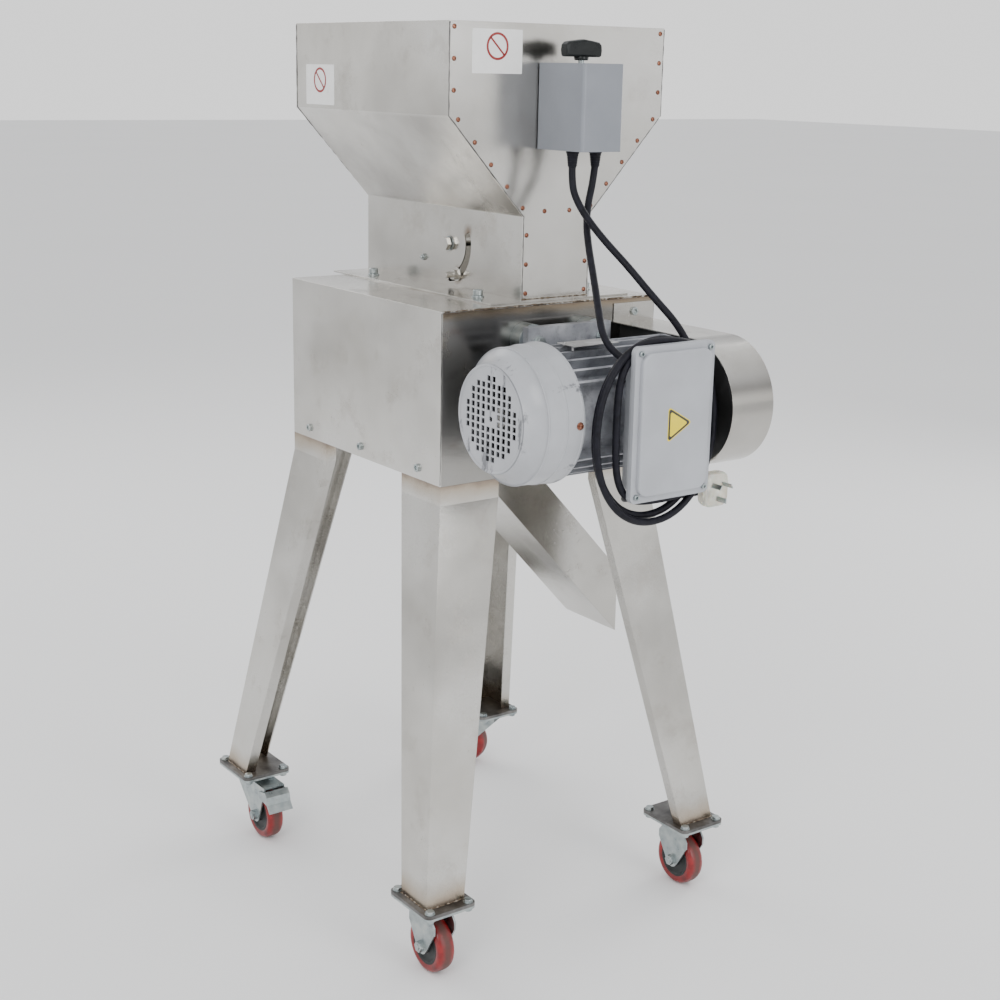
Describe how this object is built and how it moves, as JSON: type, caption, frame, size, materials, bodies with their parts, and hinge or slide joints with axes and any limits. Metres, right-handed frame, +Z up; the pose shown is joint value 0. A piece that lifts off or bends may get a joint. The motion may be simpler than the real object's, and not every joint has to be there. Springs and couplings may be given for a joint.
{
  "type": "grape crusher destemmer",
  "caption": "Stainless grape crusher destemmer on splayed legs with casters: open hopper, crusher housing, side outlet chute, belt guard and front-mounted electric motor with a coiled cord.",
  "frame": {"origin": "centre of the footprint on the floor", "axes": "+Z up; +X towards the side where the outlet chute comes out; -Y towards the side that carries the motor and the switch"},
  "size_m": [0.506, 0.751, 1.189],
  "materials": {
    "stainless": "brushed stainless sheet with a satin finish",
    "copper_rivets": "copper-coloured blind rivets",
    "zinc_plated": "zinc-plated steel, slightly yellow",
    "switch_box_paint": "light grey-blue semi-gloss paint",
    "black_plastic": "moulded, satin",
    "red_tyre": "red polyurethane tread on a dark grey hub, worn brown on the tread",
    "black_paint": "satin black",
    "motor_aluminium": "cast, silver grey, dusty",
    "stator_steel": "laminated steel with copper winding",
    "cover_paint": "silver-grey paint, scuffed",
    "plate_aluminium": "blank, satin",
    "box_paint": "light grey textured paint",
    "terminal_plastic": "moulded",
    "pulley_iron": "turned, oiled",
    "belt_rubber": "fabric-backed rubber",
    "cord_rubber": "matt black rubber sheath",
    "plug_plastic": "translucent cream plastic with brass blades"
  },
  "bodies": {
    "frame": {"housing_shell": "stainless", "housing_front_panel": "stainless", "housing_rear_panel": "stainless", "housing_bottom_pan": "stainless", "bearing_bulkhead": "stainless", "hopper_front_plate": "stainless", "hopper_rear_plate": "stainless", "hopper_left_sheet": "stainless", "hopper_right_sheet": "stainless", "hopper_flange": "stainless", "throat_guides": "stainless", "leg_front_left": "stainless", "leg_front_right": "stainless", "leg_rear_left": "stainless", "leg_rear_right": "stainless", "outlet_chute": "stainless", "belt_guard": "stainless", "sieve_trough": "stainless", "hopper_rivets": "copper_rivets", "panel_and_flange_screws": "zinc_plated", "foot_plates": "zinc_plated", "caster_bolts": "zinc_plated", "rigid_forks": "zinc_plated", "swivel_plates": "zinc_plated", "motor_bolts_and_spacers": "zinc_plated", "bearings_and_bushes": "zinc_plated", "switch_box": "switch_box_paint", "switch_block": "black_plastic", "guard_back_plate": "black_paint", "motor_frame": "motor_aluminium", "motor_end_shields": "motor_aluminium", "stator": "stator_steel", "fan_cover": "cover_paint", "nameplate": "plate_aluminium", "terminal_box": "box_paint", "terminal_lid": "box_paint", "terminal_block_and_capacitor": "terminal_plastic", "drive_belt": "belt_rubber", "power_cord": "cord_rubber", "switch_lead": "cord_rubber", "cord_coil": "cord_rubber", "cable_glands": "cord_rubber", "plug": "plug_plastic"},
    "crusher_rotor": {"crusher_shaft": "stainless", "crusher_drum": "stainless", "driven_pulley": "pulley_iron"},
    "motor_rotor": {"motor_shaft": "stainless", "motor_fan": "black_plastic", "drive_pulley": "pulley_iron"},
    "gate": {"feed_gate": "stainless", "gate_lock_stud": "stainless"},
    "knob": {"switch_knob": "black_plastic"},
    "wheel_body_front_left": {"wheel_front_left": "red_tyre"},
    "wheel_body_front_right": {"wheel_front_right": "red_tyre"},
    "swivel_rear_left": {"swivel_fork_rear_left": "zinc_plated"},
    "swivel_rear_right": {"swivel_fork_rear_right": "zinc_plated"},
    "wheel_body_rear_left": {"wheel_rear_left": "red_tyre"},
    "wheel_body_rear_right": {"wheel_rear_right": "red_tyre"},
    "pedal_body_rear_left": {"brake_pedal_rear_left": "zinc_plated"},
    "pedal_body_rear_right": {"brake_pedal_rear_right": "zinc_plated"}
  },
  "joints": [
    {"name": "crusher_spin", "type": "hinge", "parent": "frame", "child": "crusher_rotor", "pos_m": [0, 0.054, 0.735], "axis": [1, 0, 0], "continuous": true},
    {"name": "motor_spin", "type": "hinge", "parent": "frame", "child": "motor_rotor", "pos_m": [0, -0.2525, 0.735], "axis": [1, 0, 0], "continuous": true},
    {"name": "gate_turn", "type": "hinge", "parent": "frame", "child": "gate", "pos_m": [0.027, 0.054, 0.9055], "axis": [1, 0, 0], "range_deg": [-78, 23]},
    {"name": "knob_turn", "type": "hinge", "parent": "frame", "child": "knob", "pos_m": [0.0225, -0.15635, 1.15], "axis": [0, 0, 1], "range_deg": [-60, 60]},
    {"name": "wheel_front_left_spin", "type": "hinge", "parent": "frame", "child": "wheel_body_front_left", "pos_m": [-0.215, -0.2015, 0.0375], "axis": [1, 0, 0], "continuous": true},
    {"name": "wheel_front_right_spin", "type": "hinge", "parent": "frame", "child": "wheel_body_front_right", "pos_m": [0.215, -0.2015, 0.0375], "axis": [1, 0, 0], "continuous": true},
    {"name": "caster_rear_left_swivel", "type": "hinge", "parent": "frame", "child": "swivel_rear_left", "pos_m": [-0.215, 0.2915, 0.09], "axis": [0, 0, 1], "continuous": true},
    {"name": "caster_rear_right_swivel", "type": "hinge", "parent": "frame", "child": "swivel_rear_right", "pos_m": [0.215, 0.2915, 0.09], "axis": [0, 0, 1], "continuous": true},
    {"name": "wheel_rear_left_spin", "type": "hinge", "parent": "swivel_rear_left", "child": "wheel_body_rear_left", "pos_m": [-0.215, 0.2575, 0.0375], "axis": [1, 0, 0], "continuous": true},
    {"name": "wheel_rear_right_spin", "type": "hinge", "parent": "swivel_rear_right", "child": "wheel_body_rear_right", "pos_m": [0.198, 0.32094, 0.0375], "axis": [-0.866, -0.5, 0], "continuous": true},
    {"name": "brake_rear_left_press", "type": "hinge", "parent": "swivel_rear_left", "child": "pedal_body_rear_left", "pos_m": [-0.215, 0.2355, 0.077], "axis": [1, 0, 0], "range_deg": [0, 12]},
    {"name": "brake_rear_right_press", "type": "hinge", "parent": "swivel_rear_right", "child": "pedal_body_rear_right", "pos_m": [0.187, 0.34, 0.077], "axis": [-0.866, -0.5, 0], "range_deg": [0, 12]}
  ],
  "couplings": [
    {"joint": "motor_spin", "follows": "crusher_spin", "ratio": 2}
  ]
}
